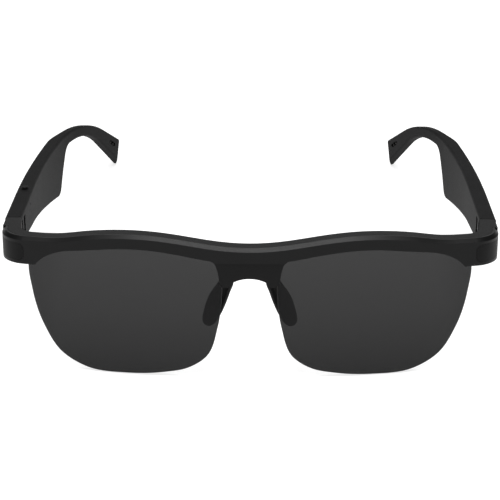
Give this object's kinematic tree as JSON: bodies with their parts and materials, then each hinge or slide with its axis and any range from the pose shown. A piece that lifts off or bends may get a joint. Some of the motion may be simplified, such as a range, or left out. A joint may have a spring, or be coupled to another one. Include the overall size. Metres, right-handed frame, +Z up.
{
  "type": "smart glasses",
  "caption": "Black semi-rimless sunglasses with folding temples that hold a battery, a speaker and charging contacts.",
  "frame": {"origin": "on the table the folded-open glasses rest on, below the middle of the whole object, with lenses' lower rims and temple tips touching the table", "axes": "+X towards the wearer's left, +Y from the lenses back to the temple tips, +Z up from the table"},
  "size_m": [0.149, 0.1564, 0.0479],
  "materials": {
    "frame_black": "fine matte moulded texture",
    "cover_black": "fine matte moulded texture",
    "temple_black": "fine matte moulded texture",
    "button_black": "satin",
    "lens_tint": "dark grey tint, polished",
    "pad_rubber": "soft matte silicone",
    "steel": "turned and tumbled",
    "cell_foil": "foil pouch",
    "board_green": "solder mask",
    "speaker_black": "moulded speaker body",
    "mesh_steel": "etched mesh",
    "contact_gold": "gold plated",
    "socket_black": "moulded socket",
    "flex_amber": "polyimide film",
    "light_white": "diffusing plastic",
    "switch_grey": "small switch housing"
  },
  "bodies": {
    "front": {"front_frame": "frame_black", "brow_cover": "cover_black", "nose_bridge": "frame_black", "bridge_screws": "steel", "corner_plate_left": "cover_black", "lens_left": "lens_tint", "nose_pad_left": "pad_rubber", "hinge_front_leaf_left": "steel", "corner_plate_right": "cover_black", "lens_right": "lens_tint", "nose_pad_right": "pad_rubber", "hinge_front_leaf_right": "steel"},
    "left temple": {"temple_shell_left": "temple_black", "temple_cover_left": "temple_black", "hinge_temple_leaf_left": "steel", "hinge_screw_left": "steel", "leaf_screws_left": "steel", "battery_left": "cell_foil", "circuit_board_left": "board_green", "speaker_left": "speaker_black", "speaker_grille_left": "mesh_steel", "charge_socket_left": "socket_black", "charge_contacts_left": "contact_gold", "charge_flex_left": "flex_amber"},
    "right temple": {"temple_shell_right": "temple_black", "temple_cover_right": "temple_black", "hinge_temple_leaf_right": "steel", "hinge_screw_right": "steel", "leaf_screws_right": "steel", "battery_right": "cell_foil", "circuit_board_right": "board_green", "speaker_right": "speaker_black", "speaker_grille_right": "mesh_steel", "charge_socket_right": "socket_black", "charge_contacts_right": "contact_gold", "charge_flex_right": "flex_amber", "button_switch": "switch_grey", "microphone": "switch_grey", "status_light": "light_white"},
    "power button": {"power_button": "button_black"}
  },
  "joints": [
    {"name": "left_temple_fold", "type": "hinge", "parent": "front", "child": "left temple", "pos_m": [0.0713, -0.04655, 0.03685], "axis": [0, 0.1352, 0.9908], "range_deg": [0, 84]},
    {"name": "right_temple_fold", "type": "hinge", "parent": "front", "child": "right temple", "pos_m": [-0.0713, -0.04655, 0.03685], "axis": [0, -0.1352, -0.9908], "range_deg": [0, 72]},
    {"name": "power_button_press", "type": "slide", "parent": "right temple", "child": "power button", "axis": [0, -0.1352, -0.9908], "range_m": [0, 0.00035], "stiffness_N_per_m": 1500, "springref_m": -0.0003}
  ]
}
